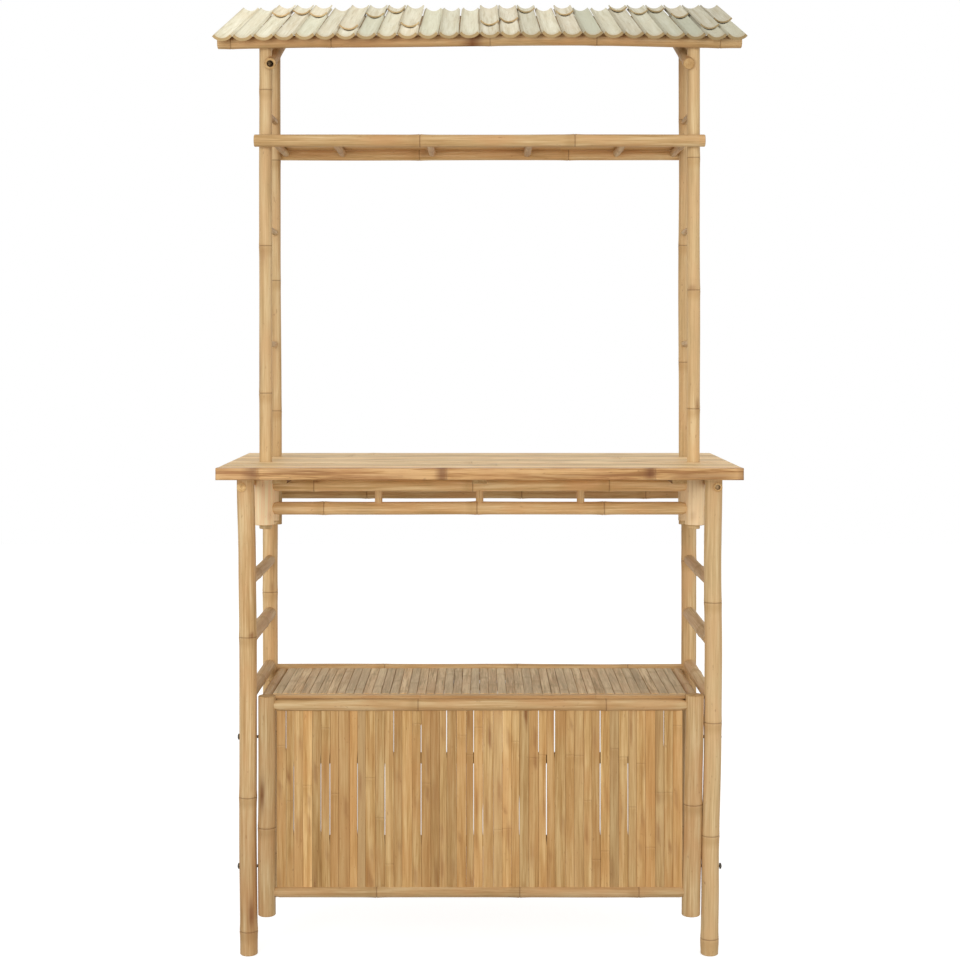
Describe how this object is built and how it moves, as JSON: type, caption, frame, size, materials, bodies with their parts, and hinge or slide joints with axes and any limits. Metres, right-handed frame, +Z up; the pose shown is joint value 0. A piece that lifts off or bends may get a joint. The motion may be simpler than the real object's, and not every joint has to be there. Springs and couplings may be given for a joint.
{
  "type": "outdoor bar table",
  "caption": "Bamboo garden bar with a plank counter, slatted cabinet front and top, bottle shelf and a sloping roof of split canes.",
  "frame": {"origin": "on the floor under the middle of the bounding box", "axes": "+X to the bar's right as a guest faces the slatted front, +Y to the back, +Z up"},
  "size_m": [1.1196, 0.5838, 2.048],
  "materials": {
    "cane": "clear-lacquered round bamboo cane",
    "plank": "sanded flat bamboo board",
    "split_slat": "split bamboo, sanded skin side",
    "batten": "sawn bamboo strip",
    "tile": "raw inner face of split bamboo",
    "dark_metal": "dull blackened steel"
  },
  "bodies": {
    "root": {"front_leg_left": "cane", "front_leg_right": "cane", "back_leg_left": "cane", "back_leg_right": "cane", "side_rail_left": "cane", "side_rail_right": "cane", "upper_rung_left": "cane", "upper_rung_right": "cane", "middle_rung_left": "cane", "middle_rung_right": "cane", "lower_rung_left": "cane", "lower_rung_right": "cane", "counter_front_plank": "plank", "counter_planks": "plank", "counter_battens": "batten", "front_socket_left": "cane", "front_socket_right": "cane", "back_socket_left": "cane", "back_socket_right": "cane", "socket_pegs": "cane", "socket_screws": "dark_metal", "apron_upper_rail": "cane", "apron_lower_rail": "cane", "apron_struts": "cane", "back_apron_rail": "cane", "front_post_left": "cane", "front_post_right": "cane", "back_post_left": "cane", "back_post_right": "cane", "canopy_rungs_left": "cane", "canopy_rungs_right": "cane", "shelf_front_rail": "cane", "shelf_back_rail": "cane", "shelf_cross_bars": "cane", "shelf_slats": "split_slat", "rafter_left": "cane", "rafter_right": "cane", "roof_front_beam": "cane", "roof_middle_beam": "cane", "roof_back_beam": "cane", "roof_lower_tiles": "tile", "roof_upper_tiles": "tile", "panel_post_left": "cane", "panel_post_right": "cane", "panel_top_rail": "cane", "panel_bottom_rail": "cane", "panel_slats": "split_slat", "panel_battens": "batten", "panel_bolts": "dark_metal", "cabinet_top_strip": "batten", "cabinet_top_slats": "split_slat", "cabinet_top_bearers": "batten", "cabinet_side_cane_left": "cane", "cabinet_side_cane_right": "cane", "cabinet_back_rail": "cane", "leg_nails": "dark_metal"}
  },
  "joints": []
}
